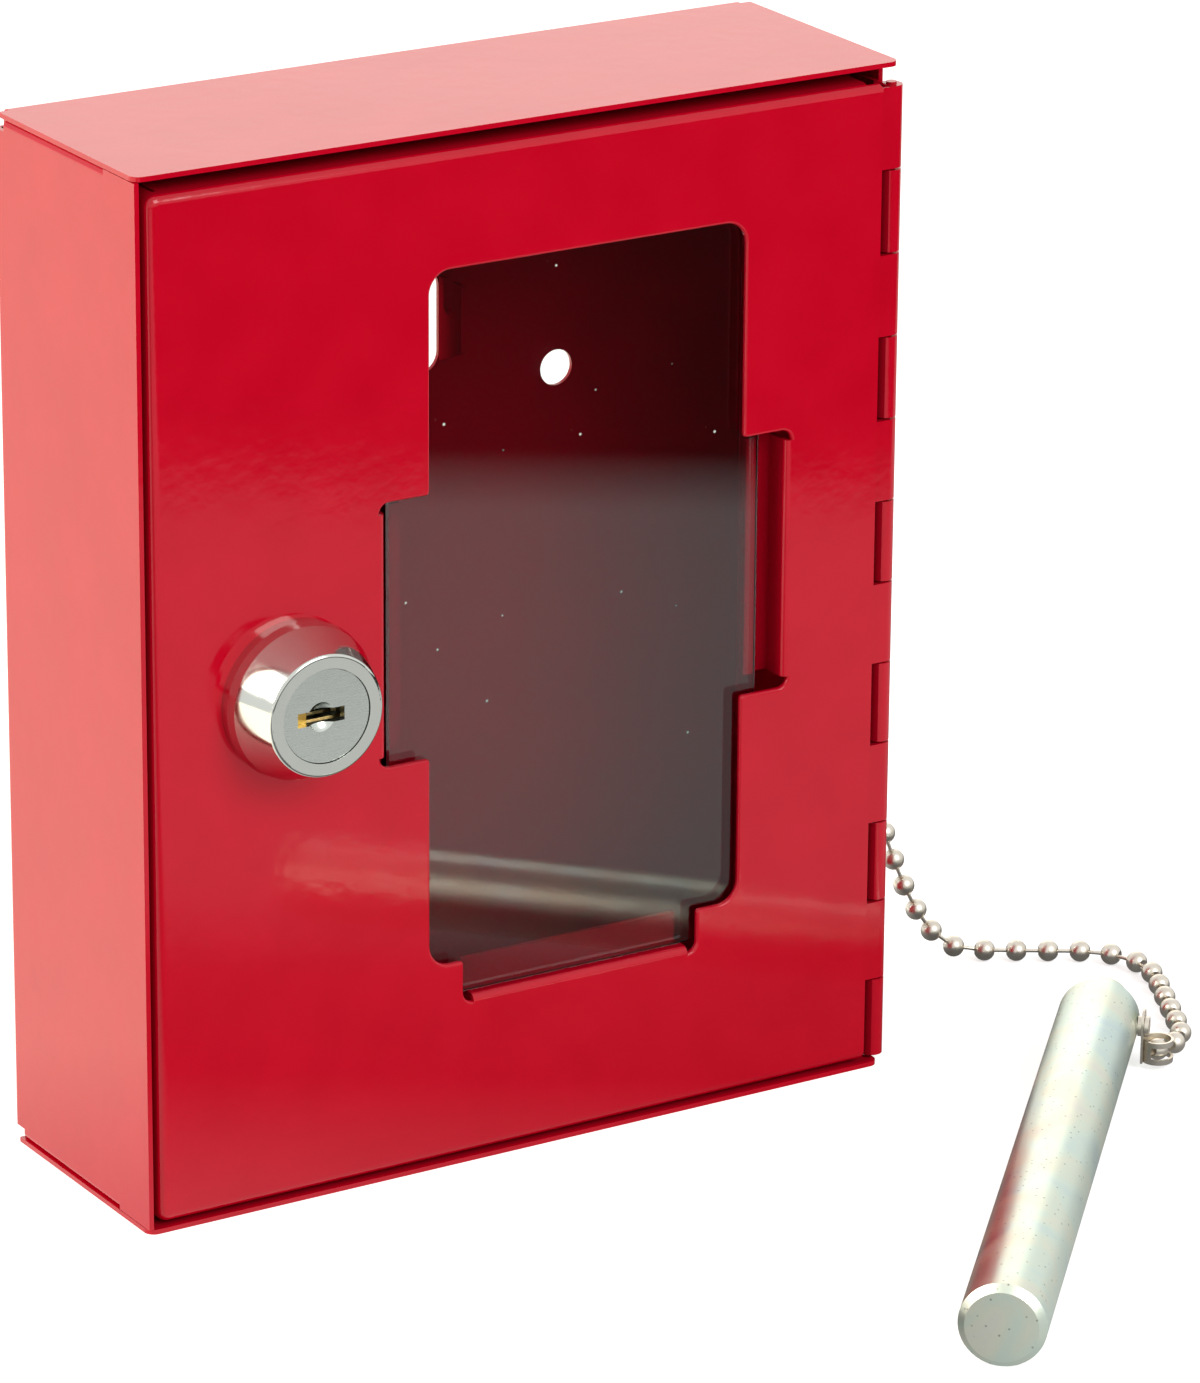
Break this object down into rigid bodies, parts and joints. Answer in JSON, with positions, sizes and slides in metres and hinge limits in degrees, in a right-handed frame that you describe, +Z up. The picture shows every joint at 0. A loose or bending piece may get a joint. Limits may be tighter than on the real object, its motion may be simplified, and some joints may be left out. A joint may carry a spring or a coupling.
{
  "type": "break glass key box",
  "caption": "Wall key box of folded red sheet steel with a hinged door, breakable glass window, cam lock, key hook and a round steel hammer on a ball chain.",
  "frame": {"origin": "middle of the underside of the box", "axes": "+Z up, +X to the right seen from the front, +Y to the wall behind the box; the door faces -Y"},
  "size_m": [0.1751, 0.1384, 0.15],
  "materials": {
    "red_paint": "gloss, light orange peel",
    "glass": "clear float glass",
    "chrome": "polished, face satin",
    "zinc": "zinc plated and yellow-green passivated",
    "nickel": "bright nickel plate",
    "brass": "stamped",
    "spring_steel": "drawn wire"
  },
  "bodies": {
    "box": {"box_shell": "red_paint", "strike_bracket": "red_paint", "body_hinge_leaf": "red_paint", "hinge_pin": "red_paint", "wall_rivet": "nickel", "wall_coupling": "nickel", "chain_balls": "nickel", "chain_links": "nickel"},
    "door": {"door_panel": "red_paint", "door_hinge_leaf": "red_paint", "glass_pane": "glass", "lock_housing": "chrome", "lock_washer": "zinc", "lock_nut": "chrome"},
    "lock_core": {"lock_plug": "chrome", "lock_wafers": "brass", "wafer_springs": "spring_steel", "stop_washer": "zinc", "lock_cam": "zinc", "cam_screw_washer": "zinc", "cam_screw": "zinc"},
    "coupling": {"hammer_coupling": "nickel"},
    "hammer": {"hammer_rod": "zinc", "coupling_pin": "nickel"}
  },
  "joints": [
    {"name": "door_hinge", "type": "hinge", "parent": "box", "child": "door", "pos_m": [0.0601, -0.0177, 0.0738], "axis": [0, 0, 1], "range_deg": [0, 60]},
    {"name": "lock_turn", "type": "hinge", "parent": "door", "child": "lock_core", "pos_m": [-0.0367, -0.02, 0.0742], "axis": [0, -1, 0], "range_deg": [0, 90]},
    {"name": "coupling_swivel", "type": "hinge", "parent": "box", "child": "coupling", "pos_m": [0.0945, -0.041, 0.0026], "axis": [0, 0, 1], "range_deg": [0, 70]},
    {"name": "hammer_tip", "type": "hinge", "parent": "coupling", "child": "hammer", "pos_m": [0.08789, -0.03504, 0.006], "axis": [-0.7427, 0.6696, 0], "range_deg": [0, 15]}
  ]
}
